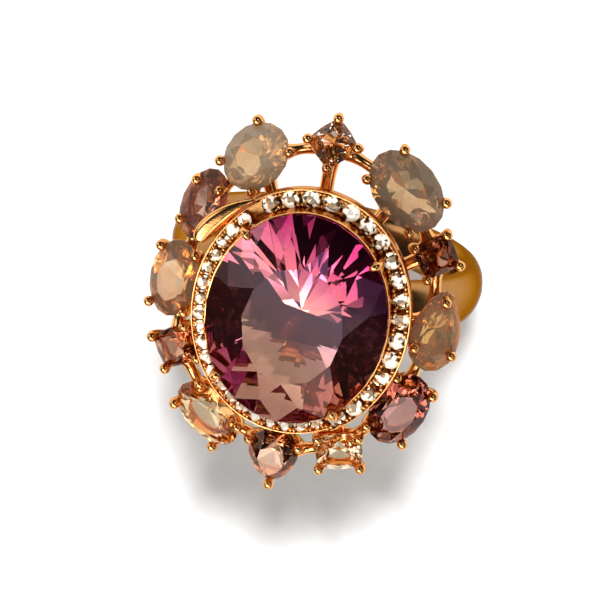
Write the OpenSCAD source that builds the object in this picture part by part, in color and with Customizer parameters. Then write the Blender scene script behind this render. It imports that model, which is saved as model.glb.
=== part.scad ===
// Cocktail ring: a large oval stone in a pave halo, on a garland of twelve side stones.
// Millimetres. The origin is the centre of the finger hole, +Y runs along the finger,
// +X across it, and +Z points up through the head.

/* [Band] */
// Diameter of the finger hole
finger_d = 17.3; // [16.8:0.1:17.6]
// Width of the band along the finger
band_w = 3.7; // [3:0.1:4.4]
// Thickness of the band at its ridge
band_t = 2.05; // [1.8:0.05:2.3]
// How much lower the band's edges lie than its ridge
ridge_drop = 0.45; // [0.2:0.05:0.7]
// Height of the flat seat on top of the band, above the hole's centre
seat_z = 9.7; // [9.6:0.05:9.9]

/* [Centre stone] */
// Length of the centre stone, along the finger
stone_l = 14.1; // [13.5:0.1:14.6]
// Width of the centre stone
stone_w = 11.9; // [11.4:0.1:12.4]
// Height of its girdle above the hole's centre
stone_z = 15.4; // [15.3:0.05:15.8]
// Height of the crown above the girdle
stone_crown = 1.75; // [1.4:0.05:2.2]
// Depth of the pavilion below the girdle
stone_pavilion = 4.85; // [4.5:0.05:4.9]
// Share of the width that the table takes
stone_table = 0.56; // [0.5:0.01:0.62]

/* [Halo] */
// Top of the halo's floor above the hole's centre
halo_z = 13.3; // [13.2:0.05:13.4]
// Width of the crescent band, with its rim
crescent_w = 1.34; // [1.3:0.01:1.5]
// Width of the inner band, with its rim
inner_w = 1.14; // [1.1:0.01:1.25]
// Diameter of the crescent's pave stones
crescent_d = 1.16; // [1:0.01:1.2]
// Diameter of the inner band's pave stones
inner_d = 0.96; // [0.85:0.01:1]

/* [Side stones] */
// Width of the oval that the side stones stand on
garland_w = 17.6; // [17.4:0.1:18.4]
// Length of the oval that the side stones stand on
garland_l = 21.7; // [21.5:0.1:22.5]
// Height of the side stones' girdles above the hole's centre
garland_z = 10.9; // [10.8:0.05:11.4]
// Outward lean of the side stones, in degrees
garland_lean = 13; // [8:1:18]
// Diameter of the balls on the claws' tips
ball_d = 0.66; // [0.5:0.02:0.76]
// Diameter of the claw and basket wire
wire_d = 0.5; // [0.4:0.02:0.56]
// Diameter of the cast arms
arm_d = 0.9; // [0.7:0.05:1]

/* [Hidden] */
$fn = 48;
SIDE_COUNT = 12;

gold = "#d9a066";
pave_tint = "#efe3c4";

// Half sizes of the centre stone, the walls round it, and the thickness of the halo's floor and the
// heights of its rims, of the grains that hold the pave and of its tail
stone_a = stone_w / 2;
stone_b = stone_l / 2;
girdle_t = 0.16;
collet_wall = 0.3;
collet_top = stone_z - girdle_t - 0.16;
collet_gap = -0.2;
floor_t = 0.3;
rim_t = 0.1;
rim_h = 0.62;
grain_h = 0.58;
tail_h = 0.95;
rim_top = halo_z + rim_h;
wall_out = collet_gap + collet_wall;

// Where the two pave bands start and stop, as angles round the stone
crescent_span = [124, -62];
inner_span = [131, 296];
tail_span = [126, 159];
crescent_n = 17;
inner_n = 20;

// Directions of the four centre claws, the claws' radius, and where they bend and end above the girdle
claw_angles = [47, 130, 227, 302];
claw_r = 0.21;
claw_bend_z = 0.12;
claw_tip_z = 0.34;
claw_tip_r = 0.26;

// A joint ball a little larger than the wire, so that no two surfaces run into each other evenly
joint = 1.12;

// Under-structure
rail_r = 0.5;
base_a = 5.4;
base_b = 6.6;
base_z = seat_z + 0.32;
upper_r = 0.35;
upper_a = 6.2;
upper_b = 7.4;
upper_z = halo_z - floor_t - upper_r;
post_n = 12;
post_r = 0.32;
sink = 0.05;

// The side baskets, in shares of a stone's outline: the foot ring, the outside of the wall at its
// foot and its lip, and the wall's thickness; then how far the ring stands out, in millimetres
ring_share = 0.62;
cup_foot = 0.7;
cup_lip = 0.94;
cup_wall = 0.1;
ring_out = 0.1;

// The side claws: how far they stand out from the girdle at their bend and tip, and their heights
side_bend_out = 0.3;
side_bend_z = 0.02;
side_tip_out = 0.13;
side_tip_z = 0.34;

// The side stones: depth of the pavilion as a share of the width, girdle, and the wires that tie
// their baskets, in shares of the basket's depth, the stone's width and the arm's diameter
side_pavilion = 0.4;
side_girdle = 0.12;
tie_depth = 0.55;
tie_reach = 0.42;
tie_r = 0.4 * arm_d;

// The side stones, clockwise from the top of the head: direction round the head, cut,
// length, width, direction of the long axis, rise above garland_z, colour
SIDES = [
    [91, "cushion", 2.7, 2.6, 45, 0, "#a5735f"],
    [60, "oval", 6.0, 4.2, 139, 0.2, "#c3ab80"],
    [32, "cushion", 2.6, 2.5, 33, 0, "#7f4b3e"],
    [0, "pear", 5.6, 3.6, 86, 0.2, "#c59a63"],
    [-38, "oval", 5.3, 3.7, 70, 0.1, "#9c5a53"],
    [-67, "cushion", 3.1, 2.6, 12, 0, "#d9b57c"],
    [-91, "pear", 3.9, 3.7, 272, 0, "#b98062"],
    [-119, "oval", 5.1, 3.3, 142, 0.1, "#d0995c"],
    [-148, "cushion", 2.8, 2.6, 33, 0, "#97604b"],
    [-178, "oval", 5.3, 3.4, 88, 0.1, "#c9a377"],
    [147, "oval", 5.0, 3.0, 78, 0.1, "#86574a"],
    [119, "oval", 4.9, 4.0, 59, 0.2, "#cdb48f"]
];

// ---- Small geometry helpers ----

function signed_pow(v, q) = sign(v) * pow(abs(v), q);

// A point on the oval with half sizes a and b, pushed outwards by off
function oval_point(a, b, t, off = 0) =
    let (n = [b * cos(t), a * sin(t)])
    [a * cos(t), b * sin(t)] + off * n / norm(n);

// Where a ray at this angle meets the oval, and the direction of its normal there
function oval_ray(a, b, ang) =
    [cos(ang), sin(ang)] / sqrt(pow(cos(ang) / a, 2) + pow(sin(ang) / b, 2));
function oval_normal(a, b, p) = atan2(p.y / (b * b), p.x / (a * a));

// Turns an angle seen from the centre into the oval's own parameter
function ray_to_param(a, b, ang) =
    atan2(sin(ang) / b, cos(ang) / a) + 360 * round((ang - atan2(sin(ang), cos(ang))) / 360);

// Evenly spaced parameters along an offset oval, n of them in the middle of n steps
function even_steps(a, b, off, t0, t1, n) =
    let (
        cuts = 90,
        t = function (i) t0 + (t1 - t0) * i / cuts,
        step = function (i) norm(oval_point(a, b, t(i + 1), off) - oval_point(a, b, t(i), off)),
        run = [for (i = 0, s = 0; i <= cuts; s = s + step(i), i = i + 1) [s, t(i)]],
        whole = run[cuts][0]
    )
    [for (k = [0:n - 1]) lookup(whole * (k + 0.5) / n, run)];

// A flat ring sector between two offsets of the oval
function band_outline(a, b, t0, t1, off_in, off_out, cuts = 40) = concat(
    [for (i = [0:cuts]) oval_point(a, b, t0 + (t1 - t0) * i / cuts, off_out)],
    [for (i = [cuts:-1:0]) oval_point(a, b, t0 + (t1 - t0) * i / cuts, off_in)]
);

// A straight round wire from p to q
module rod(p, q, r, r2 = undef) {
    d = q - p;
    translate(p)
        rotate([0, acos(d.z / norm(d)), atan2(d.y, d.x)])
            cylinder(h = norm(d), r1 = r, r2 = is_undef(r2) ? r : r2);
}

// A flat closed ring, square in section and centred on z = 0, that follows the outline
module flat_ring(outer, inner, height) {
    translate([0, 0, -height / 2])
        linear_extrude(height)
            difference() {
                polygon(outer);
                polygon(inner);
            }
}

// A rail that follows the oval with half sizes a and b
module oval_rail(a, b, width) {
    turns = [0:7.5:352.5];
    flat_ring([for (t = turns) oval_point(a, b, t, width / 2)],
        [for (t = turns) oval_point(a, b, t, -width / 2)], width);
}

// ---- Faceted stones ----

// The girdle outline of a cut, long axis along X, pear point towards +X
function cut_outline(cut, l, w, t) =
    cut == "cushion" ? [l / 2 * signed_pow(cos(t), 0.55), w / 2 * signed_pow(sin(t), 0.55)] :
    cut == "pear" ? [l / 2 * cos(t), w / 2 * sin(t) * (1.12 - 0.23 * (1 + cos(t)))] :
    [l / 2 * cos(t), w / 2 * sin(t)];

// A brilliant with m main facets; the girdle's top edge lies at z = 0
module brilliant(cut, l, w, m, table, crown, pavilion, girdle) {
    half = 180 / m;
    star = (1 + table) / 2 + 0.03;
    low = 0.3;
    star_z = crown * (1 - star * cos(half)) / (1 - table);
    low_z = -girdle - pavilion * (1 - low * cos(half));
    ring = function (n, start, k, z)
        [for (i = [0:n - 1]) concat(k * cut_outline(cut, l, w, start + i * 360 / n), z)];
    points = concat(
        ring(m, 0, table, crown),
        ring(m, half, star, star_z),
        ring(2 * m, 0, 1, 0),
        ring(2 * m, 0, 1, -girdle),
        ring(m, half, low, low_z),
        [[0, 0, -girdle - pavilion]]
    );
    t = function (i) (i + m) % m;
    s = function (i) m + (i + m) % m;
    u = function (i) 2 * m + (i + 2 * m) % (2 * m);
    g = function (i) 4 * m + (i + 2 * m) % (2 * m);
    p = function (i) 6 * m + (i + m) % m;
    culet = 7 * m;
    faces = concat(
        [[for (i = [m - 1:-1:0]) i]],
        [for (i = [0:m - 1]) [t(i), t(i + 1), s(i)]],
        [for (i = [0:m - 1]) [t(i), s(i), u(2 * i), s(i - 1)]],
        [for (i = [0:m - 1]) [s(i), u(2 * i + 1), u(2 * i)]],
        [for (i = [0:m - 1]) [s(i), u(2 * i + 2), u(2 * i + 1)]],
        [for (i = [0:2 * m - 1]) [u(i), u(i + 1), g(i + 1), g(i)]],
        [for (i = [0:m - 1]) [p(i), g(2 * i), g(2 * i + 1)]],
        [for (i = [0:m - 1]) [p(i), g(2 * i + 1), g(2 * i + 2)]],
        [for (i = [0:m - 1]) [culet, p(i - 1), g(2 * i), p(i)]]
    );
    polyhedron(points, faces);
}

// A small round pave stone, its girdle's top at z = 0
module pave_stone(d) {
    rotate_extrude()
        polygon([[0, 0.14 * d], [0.29 * d, 0.14 * d], [d / 2, 0], [d / 2, -0.03 * d], [0, -0.42 * d]]);
}

// ---- Band and under-structure ----

module shank() {
    inner = finger_d / 2;
    outer = inner + band_t;
    half = band_w / 2;
    crown_cuts = 6;
    side = [for (i = [0:crown_cuts])
        let (k = i / crown_cuts) [outer - ridge_drop * pow(k, 1.6), half * k]];
    profile = concat(
        [[inner, -half]],
        [for (i = [crown_cuts:-1:1]) [side[i].x, -side[i].y]],
        side,
        [[inner, half]]
    );
    color(gold)
        intersection() {
            rotate([90, 0, 0]) rotate_extrude() polygon(profile);
            translate([-outer - 1, -band_w, -outer - 1])
                cube([2 * outer + 2, 2 * band_w, outer + 1 + seat_z]);
        }
}

module base_rail() {
    color(gold) translate([0, 0, base_z]) oval_rail(base_a, base_b, 2 * rail_r);
}

module upper_rail() {
    color(gold) translate([0, 0, upper_z]) oval_rail(upper_a, upper_b, 2 * upper_r);
}

module gallery_posts() {
    color(gold)
        for (i = [0:post_n - 1]) {
            t = 15 + i * 360 / post_n;
            foot = oval_point(base_a, base_b, t, 0.1);
            head = oval_point(upper_a, upper_b, t);
            rod([foot.x, foot.y, base_z + rail_r - sink],
                [head.x, head.y, upper_z - upper_r + sink], post_r);
        }
}

// ---- Centre ----

module centre_stone() {
    color("#a0306e")
        translate([0, 0, stone_z])
            rotate([0, 0, 90])
                brilliant("oval", stone_l, stone_w, 12, stone_table, stone_crown, stone_pavilion, girdle_t);
}

module centre_collet() {
    height = collet_top - (halo_z - floor_t);
    color(gold)
        translate([0, 0, halo_z - floor_t])
            linear_extrude(height)
                difference() {
                    polygon([for (t = [0:5:355]) oval_point(stone_a, stone_b, t, wall_out)]);
                    polygon([for (t = [0:5:355]) oval_point(stone_a, stone_b, t, collet_gap)]);
                }
}

module centre_claw(i) {
    t = ray_to_param(stone_a, stone_b, claw_angles[i - 1]);
    foot = oval_point(stone_a, stone_b, t, wall_out + claw_r + 0.01);
    tip = oval_point(stone_a, stone_b, t, 0.1);
    bend = [foot.x, foot.y, stone_z + claw_bend_z];
    ball = [tip.x, tip.y, stone_z + claw_tip_z];
    color(gold) {
        rod([foot.x, foot.y, halo_z], bend, claw_r);
        translate(bend) sphere(joint * claw_r);
        rod(bend, ball, claw_r);
        translate(ball) sphere(claw_tip_r);
    }
}

// ---- Halo ----

module halo_slab(t0, t1, off_in, off_out, z0, z1) {
    translate([0, 0, z0])
        linear_extrude(z1 - z0)
            polygon(band_outline(stone_a, stone_b, t0, t1, off_in, off_out));
}

// The floor under both bands: one ring, stepped in where the narrow band takes over
module halo_floor() {
    wide = band_outline(stone_a, stone_b, crescent_span[1], crescent_span[0], 0, crescent_w);
    slim = band_outline(stone_a, stone_b, crescent_span[0], crescent_span[1] + 360, 0, inner_w);
    arc = [0:len(wide) / 2 - 1];
    color(gold)
        translate([0, 0, halo_z - floor_t])
            linear_extrude(floor_t)
                difference() {
                    polygon(concat([for (i = arc) wide[i]], [for (i = arc) slim[i]]));
                    polygon([for (t = [0:5:355]) oval_point(stone_a, stone_b, t, wall_out - 0.04)]);
                }
}

module halo_crescent_rim() {
    color(gold)
        halo_slab(crescent_span[1], crescent_span[0], crescent_w - rim_t, crescent_w, halo_z, rim_top);
}

module halo_inner_rim() {
    color(gold)
        halo_slab(crescent_span[0], crescent_span[1] + 360, inner_w - rim_t, inner_w, halo_z, rim_top);
}

// The crescent's plain tail: it swings outwards past the inner band, widens and ends rounded. k runs
// from 0 at the band to 1 at the tip, and middle and half are distances from the stone's outline
module halo_tail() {
    cuts = 24;
    middle = function (k) 1.05 + 0.95 * sin(90 * k);
    half = function (k) (0.4 + 0.36 * k) * sqrt(max(1 - pow(k, 7), 0));
    at = function (k, s)
        oval_point(stone_a, stone_b, tail_span[0] + (tail_span[1] - tail_span[0]) * k,
            max(middle(k) + s * half(k), inner_w + 0.02));
    outline = concat(
        [for (i = [0:cuts - 1]) at(i / cuts, 1)],
        [for (i = [cuts:-1:0]) at(i / cuts, -1)]
    );
    color(gold) translate([0, 0, halo_z - floor_t]) linear_extrude(tail_h) polygon(outline);
}

// Places its children along one band, turned so that +X points outwards
module along_band(span, n, off, shift = 0) {
    steps = even_steps(stone_a, stone_b, off, span[0], span[1], n);
    gap = (steps[1] - steps[0]) * shift;
    for (t = steps) {
        p = oval_point(stone_a, stone_b, t + gap, off);
        translate([p.x, p.y, 0])
            rotate([0, 0, oval_normal(stone_a, stone_b, oval_point(stone_a, stone_b, t + gap))])
                children();
    }
}

// Middle of each channel, measured outwards from the stone
function channel(w) = (wall_out + w - rim_t) / 2;

module crescent_pave() {
    color(pave_tint)
        translate([0, 0, halo_z + 0.52])
            along_band(crescent_span, crescent_n, channel(crescent_w)) pave_stone(crescent_d);
}

module inner_pave() {
    color(pave_tint)
        translate([0, 0, halo_z + 0.46])
            along_band(inner_span, inner_n, channel(inner_w)) pave_stone(inner_d);
}

// A ball-topped post for each pair of pave stones, at the inner and outer edge
module grains(span, n, w, r, reach) {
    along_band(span, n, channel(w), 0.5)
        for (side = [-1, 1]) translate([side * reach, 0, halo_z]) {
            cylinder(h = grain_h, r = r);
            translate([0, 0, grain_h]) sphere(r);
        }
}

module crescent_grains() {
    color(gold) grains(crescent_span, crescent_n, crescent_w, 0.15, 0.41);
}

module inner_grains() {
    color(gold) grains(inner_span, inner_n, inner_w, 0.13, 0.33);
}

// ---- Side stones, their baskets and arms ----

function side_place(i) = oval_ray(garland_w / 2, garland_l / 2, SIDES[i - 1][0]);
function side_out(i) = oval_normal(garland_w / 2, garland_l / 2, side_place(i));
function side_height(i) = garland_z + SIDES[i - 1][5];
function side_depth(i) = 0.44 * min(SIDES[i - 1][2], SIDES[i - 1][3]);

// Places its children on a side stone's seat: +Z is the stone's face, +X its long axis
module at_side(i) {
    p = side_place(i);
    translate([p.x, p.y, side_height(i)])
        rotate([0, 0, side_out(i)])
            rotate([0, garland_lean, 0])
                rotate([0, 0, SIDES[i - 1][4] - side_out(i)])
                    children();
}

// A point on the seat's axis, this far below the girdle
function below_side(i, d) =
    let (p = side_place(i), o = side_out(i), s = sin(garland_lean) * d)
    [p.x - s * cos(o), p.y - s * sin(o), side_height(i) - d * cos(garland_lean)];

module side_stone(i) {
    s = SIDES[i - 1];
    crown = 0.19 * s[3] + side_girdle;
    pavilion = side_pavilion * min(s[2], s[3]);
    color(s[6]) at_side(i) brilliant(s[1], s[2], s[3], 8, 0.55, crown, pavilion, side_girdle);
}

function claw_turns(cut) = cut == "pear" ? [0, 122, 238] : [45, 135, 225, 315];

// The ring at a basket's foot: the stone's outline made smaller and pushed out a little
module foot_ring(s) {
    ring_d = 1.2 * wire_d;
    edge = function (t, o)
        let (p = ring_share * cut_outline(s[1], s[2], s[3], t)) p + o * p / norm(p);
    turns = [0:15:345];
    flat_ring([for (t = turns) edge(t, ring_out + ring_d / 2)],
        [for (t = turns) edge(t, ring_out - ring_d / 2)], ring_d);
}

// The basket's wall: the outline made smaller from the lip, which lies at rim, down to the foot
module basket_cup(s, deep, rim) {
    n = 24;
    ring = function (k, z)
        [for (i = [0:n - 1]) concat(k * cut_outline(s[1], s[2], s[3], i * 360 / n), z)];
    at = function (row, i) (row % 4) * n + i % n;
    polyhedron(
        concat(ring(cup_foot, -deep), ring(cup_lip, rim),
            ring(cup_lip - cup_wall, rim), ring(cup_foot - cup_wall, -deep)),
        [for (row = [0:3]) for (i = [0:n - 1])
            [at(row, i), at(row + 1, i), at(row + 1, i + 1), at(row, i + 1)]]
    );
}

module side_setting(i) {
    s = SIDES[i - 1];
    r = wire_d / 2;
    deep = side_depth(i) + 0.1;
    color(gold) at_side(i) {
        translate([0, 0, -deep]) foot_ring(s);
        basket_cup(s, deep, -0.3 * deep);
        for (t = claw_turns(s[1])) {
            edge = cut_outline(s[1], s[2], s[3], t);
            out = edge / norm(edge);
            foot = ring_share * edge + ring_out * out;
            side = edge + side_bend_out * out;
            tip = edge + side_tip_out * out;
            rod([foot.x, foot.y, -deep], [side.x, side.y, side_bend_z], r);
            translate([side.x, side.y, side_bend_z]) sphere(joint * r);
            rod([side.x, side.y, side_bend_z], [tip.x, tip.y, side_tip_z], r);
            translate([tip.x, tip.y, side_tip_z]) sphere(ball_d / 2);
        }
    }
}

// The arm from the base rail to the foot of a basket
module side_stem(i) {
    p = side_place(i);
    root = oval_ray(base_a, base_b, atan2(p.y, p.x));
    start = [root.x, root.y, base_z];
    foot = below_side(i, side_depth(i) + 0.1);
    reach = ring_share * min(SIDES[i - 1][2], SIDES[i - 1][3]) / 2 - 2 * ring_out;
    inward = (start - foot) / norm(start - foot);
    color(gold) rod(start, foot + reach * inward, arm_d / 2, joint * arm_d / 2);
}

// Short wires that tie each basket to the next one
module link_wires() {
    color(gold)
        for (i = [1:SIDE_COUNT]) {
            j = i % SIDE_COUNT + 1;
            a = below_side(i, tie_depth * side_depth(i));
            b = below_side(j, tie_depth * side_depth(j));
            d = (b - a) / norm(b - a);
            ra = tie_reach * min(SIDES[i - 1][2], SIDES[i - 1][3]) + ring_out;
            rb = tie_reach * min(SIDES[j - 1][2], SIDES[j - 1][3]) + ring_out;
            rod(a + ra * d, b - rb * d, tie_r);
        }
}

// ---- Nodes ----

shank();
base_rail();
upper_rail();
gallery_posts();
link_wires();
centre_stone();
centre_collet();
for (i = [1:4])
    centre_claw(i);
halo_floor();
halo_crescent_rim();
halo_inner_rim();
halo_tail();
crescent_pave();
inner_pave();
crescent_grains();
inner_grains();
for (i = [1:SIDE_COUNT]) {
    side_setting(i);
    side_stem(i);
    side_stone(i);
}
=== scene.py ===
"""A cocktail ring: a large oval gem in a pave halo, on a garland of twelve side stones."""

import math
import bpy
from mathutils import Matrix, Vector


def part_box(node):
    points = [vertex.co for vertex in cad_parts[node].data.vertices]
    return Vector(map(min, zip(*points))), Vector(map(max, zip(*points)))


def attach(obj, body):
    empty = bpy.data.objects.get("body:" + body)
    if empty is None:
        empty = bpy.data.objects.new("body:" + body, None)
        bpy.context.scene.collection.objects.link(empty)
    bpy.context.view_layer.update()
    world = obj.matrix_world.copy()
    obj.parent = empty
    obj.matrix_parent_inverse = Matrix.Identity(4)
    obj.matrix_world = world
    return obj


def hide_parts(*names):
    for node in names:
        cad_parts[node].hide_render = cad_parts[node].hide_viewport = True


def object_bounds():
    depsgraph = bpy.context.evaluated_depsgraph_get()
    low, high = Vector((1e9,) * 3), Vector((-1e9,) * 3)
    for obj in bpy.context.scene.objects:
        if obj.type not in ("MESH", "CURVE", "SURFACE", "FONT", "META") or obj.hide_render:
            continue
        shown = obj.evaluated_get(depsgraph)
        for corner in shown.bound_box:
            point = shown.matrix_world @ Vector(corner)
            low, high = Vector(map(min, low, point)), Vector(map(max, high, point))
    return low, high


bl_info = {
    "name": "Cocktail ring",
    "version": (1, 0, 0),
    "blender": (4, 5, 0),
    "location": "View3D > Sidebar > Ring",
    "description": "Builds the gold work, gems and studio of a cocktail ring round its CAD frame",
    "category": "Add Mesh",
}

import bpy
import numpy as np
from bpy.props import FloatProperty, FloatVectorProperty, PointerProperty
from mathutils import Matrix

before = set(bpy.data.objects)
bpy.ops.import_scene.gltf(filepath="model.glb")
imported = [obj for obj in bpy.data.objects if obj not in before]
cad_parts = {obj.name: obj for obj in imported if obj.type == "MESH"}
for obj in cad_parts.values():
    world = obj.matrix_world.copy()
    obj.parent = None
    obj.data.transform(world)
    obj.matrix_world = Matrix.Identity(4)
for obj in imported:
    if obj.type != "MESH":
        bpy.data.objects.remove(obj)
CAD_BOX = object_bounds()
MM = 0.001
SIDES = 12

# Powers of a section's sine and cosine: 1 is an ellipse, and less is squarer
BAND_SQUARE = 0.62
COLLET_SQUARE = 0.45
RIM_SQUARE = 0.6
FLOOR_SQUARE = 0.35
LEAF_SQUARE = 0.8

# The band: the power of its outer slope, and the share of its width that it loses under the finger
BAND_PEAK = 1.35
BAND_NARROWS = 0.14

# Radii of the posts, arms, ties and centre claws, in mm, which each then vary along their length
POST_R = 0.32
ARM_R = 0.48
TIE_R = 0.38
CENTRE_CLAW_R = 0.21

# How far the ties sag, in mm
TIE_SAG = 0.12

# A basket's foot ring: its share of the outline's radius, and how far outside that it lies, in mm
FOOT_SHARE = 0.62
FOOT_OUT = 0.1

# A basket's wall: its share of the outline at the foot, what that gains by the lip, the power of its bow, and
# the share of the foot's depth that it rises through
CUP_FOOT = 0.70
CUP_FLARE = 0.24
CUP_BOW = 0.85
CUP_RISE = 0.7

# A side claw's control points: the share of the outline's radius and the mm outside that, then the share of
# the foot's depth and the mm above that
CLAW_POINTS = [
    (FOOT_SHARE, FOOT_OUT, 1.0, 0.0),
    (0.86, 0.3, 0.5, 0.0),
    (1.0, 0.36, 0.0, -0.3),
    (1.0, 0.42, 0.0, 0.3),
    (1.0, 0.14, 0.0, 0.34),
]

# A claw ball: how far it stands outside the outline and above the girdle, in mm, and its proportions
BALL_OUT = 0.13
BALL_UP = 0.33
BALL_SHAPE = (1.0, 0.98, 0.94)

# A centre claw's pad: how far it lies below the claw's top, in mm, its proportions, and its lean inwards
PAD_DROP = 0.24
PAD_SHAPE = (1.0, 0.82, 0.62)
PAD_LEAN = 0.25

# A pair of beads on a grain, in shares of half the pair's width: how far each stands from the middle, how
# deep its centre lies, its radius and its stem's radius
BEAD_APART = 0.55
BEAD_DEEP = 0.9
BEAD_R = 0.7
STEM_R = 0.5


# ---- Measuring the frame ----


def node_mesh(name):
    """Vertices (n, 3) and triangles (k, 3) of a CAD node, vertices welded to a tenth of a micron."""
    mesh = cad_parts[name].data
    co = np.empty(len(mesh.vertices) * 3)
    mesh.vertices.foreach_get("co", co)
    mesh.calc_loop_triangles()
    tri = np.empty(len(mesh.loop_triangles) * 3, np.int64)
    mesh.loop_triangles.foreach_get("vertices", tri)
    key, back = np.unique(np.round(co.reshape(-1, 3) * 1e7), axis=0, return_inverse=True)
    return key * 1e-7, back.reshape(-1)[tri].reshape(-1, 3)


def islands(name):
    """The vertices of each separate solid in a node: labels spread along triangles until they settle."""
    co, tri = node_mesh(name)
    label = np.arange(len(co))
    settled = False
    while not settled:
        new = label.copy()
        np.minimum.at(new, tri.ravel(), np.repeat(label[tri].min(axis=1), 3))
        new = new[new]
        settled = bool((new == label).all())
        label = new
    return [co[label == g] for g in np.unique(label)]


def unit(v):
    """Each vector divided by its length."""
    v = np.asarray(v, float)
    return v / np.linalg.norm(v, axis=-1, keepdims=True)


def rod_ends(points):
    """The two end centres of a straight round rod: means of the points furthest along its longest axis."""
    middle = points.mean(axis=0)
    axis = np.linalg.svd(points - middle)[2][0]
    run = (points - middle) @ axis
    reach = 0.03 * np.ptp(run)
    return points[run < run.min() + reach].mean(axis=0), points[run > run.max() - reach].mean(axis=0)


def oval_sizes(name):
    """Half sizes of a node's box across and along the finger, and its lowest and highest z."""
    low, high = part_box(name)
    return (high.x - low.x) / 2, (high.y - low.y) / 2, low.z, high.z


def oval_point(a, b, t, off=0.0):
    """Points at parameter t of the oval with half sizes a and b, moved out along its normal by off."""
    t, off = np.broadcast_arrays(np.asarray(t, float), np.asarray(off, float))
    normal = unit(np.stack([b * np.cos(t), a * np.sin(t)], axis=-1))
    return np.stack([a * np.cos(t), b * np.sin(t)], axis=-1) + off[..., None] * normal


def oval_place(a, b, xy):
    """Parameter and outward distance of points near an oval: eight Newton-like steps of the parameter."""
    t = np.arctan2(xy[:, 1] / b, xy[:, 0] / a)
    for _ in range(8):
        along = np.stack([-a * np.sin(t), b * np.cos(t)], axis=-1)
        gap = xy - oval_point(a, b, t)
        t = t + (gap * along).sum(axis=1) / (along**2).sum(axis=1)
    normal = unit(np.stack([b * np.cos(t), a * np.sin(t)], axis=-1))
    return t, ((xy - oval_point(a, b, t)) * normal).sum(axis=1)


STONE_A, STONE_B, _, STONE_TOP = oval_sizes("centre_stone")


def band_span(name):
    """A halo band's start and end parameter, inner and outer distance, and lowest and highest z."""
    co, _ = node_mesh(name)
    t, off = oval_place(STONE_A, STONE_B, co[:, :2])
    middle = np.arctan2(np.sin(t).mean(), np.cos(t).mean())
    turn = (t - middle + np.pi) % (2 * np.pi) - np.pi
    return middle + turn.min(), middle + turn.max(), off.min(), off.max(), co[:, 2].min(), co[:, 2].max()


def seat(k):
    """Side stone k's seat: the girdle's centre, the axes (out, side, face) as rows, and the outline's angles
    and radii. The face is the stone's largest flat, and the girdle its third level of corners from there."""
    co, tri = node_mesh(f"side_stone_{k}")
    cross = np.cross(co[tri[:, 1]] - co[tri[:, 0]], co[tri[:, 2]] - co[tri[:, 0]])
    area = np.linalg.norm(cross, axis=1)
    normals = cross / np.maximum(area, 1e-15)[:, None]
    _, back = np.unique(np.round(normals, 2), axis=0, return_inverse=True)
    table = np.bincount(back.reshape(-1), weights=area).argmax()
    face = unit((normals * area[:, None])[back.reshape(-1) == table].sum(axis=0))
    height = co @ face
    level = np.unique(np.round(height, 6))[::-1]
    culet = co[height.argmin()]
    centre = culet + face * (level[2] - height.min())
    out = unit(np.array([centre[0], centre[1], 0.0]))
    out = unit(out - face * (out @ face))
    axes = np.stack([out, np.cross(face, out), face])
    girdle = (co[np.abs(height - level[2]) < 2e-6] - centre) @ axes.T
    angle = np.arctan2(girdle[:, 1], girdle[:, 0])
    order = angle.argsort()
    radius = np.linalg.norm(girdle[:, :2], axis=1)
    return {"centre": centre, "axes": axes, "angle": angle[order], "radius": radius[order]}


def outline(place, angle):
    """Radius of a stone's outline at these angles: straight chords between the girdle's corners, and then
    a running mean over a few degrees, which rounds the corners off."""
    corner = place["radius"][:, None] * np.stack([np.cos(place["angle"]), np.sin(place["angle"])], axis=1)
    share = np.linspace(0, 1, 40, endpoint=False)[:, None]
    chord = (corner[:, None] * (1 - share) + np.roll(corner, -1, axis=0)[:, None] * share).reshape(-1, 2)
    turn, radius = np.arctan2(chord[:, 1], chord[:, 0]), np.linalg.norm(chord, axis=1)
    window = np.radians(np.linspace(-7, 7, 15))
    return np.interp(np.ravel(angle)[:, None] + window, turn, radius, period=2 * np.pi).mean(axis=1)


def claw_balls(k, place):
    """Ball centres on side setting k: the points in its top quarter of a millimetre, grouped by direction
    with a gap of at least 20 degrees between groups."""
    gap = 0.35
    co, _ = node_mesh(f"side_setting_{k}")
    local = (co - place["centre"]) @ place["axes"].T
    top = local[local[:, 2] > local[:, 2].max() - 0.25 * MM]
    angle = np.sort(np.arctan2(top[:, 1], top[:, 0]))
    order = np.arctan2(top[:, 1], top[:, 0]).argsort()
    step = np.diff(np.append(angle, angle[0] + 2 * np.pi))
    group = np.concatenate([[0], np.cumsum(step[:-1] > gap)])
    group[group == group[-1]] = 0 if step[-1] < gap else group[-1]
    top = top[order]
    return [(top[group == g].min(axis=0) + top[group == g].max(axis=0)) / 2 for g in np.unique(group)]


SEATS = {k: seat(k) for k in range(1, SIDES + 1)}


# ---- Surfaces ----


def skin(rings, loop=False, start=None, end=None):
    """A closed shell over rings (n, m, 3), each a closed curve. A loop joins the last ring to the first;
    otherwise each end is closed by a fan to its pole, or to the ring's middle when no pole is given."""
    n, m, _ = rings.shape
    index = np.arange(n * m).reshape(n, m)
    after = np.roll(index, -1, axis=1)
    rows = np.roll(index, -1, axis=0) if loop else index[1:]
    first = index if loop else index[:-1]
    side = after if loop else after[:-1]
    up = np.roll(after, -1, axis=0) if loop else after[1:]
    quads = np.stack([first, side, up, rows], axis=-1).reshape(-1, 4)
    verts, tris = rings.reshape(-1, 3), np.empty((0, 3), np.int64)
    if not loop:
        poles = np.array([rings[0].mean(axis=0) if start is None else start,
                          rings[-1].mean(axis=0) if end is None else end])
        verts = np.concatenate([verts, poles])
        tris = np.concatenate([
            np.stack([after[0], index[0], np.full(m, n * m)], axis=-1),
            np.stack([index[-1], after[-1], np.full(m, n * m + 1)], axis=-1),
        ])
    return outward(verts, quads, tris)


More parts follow.
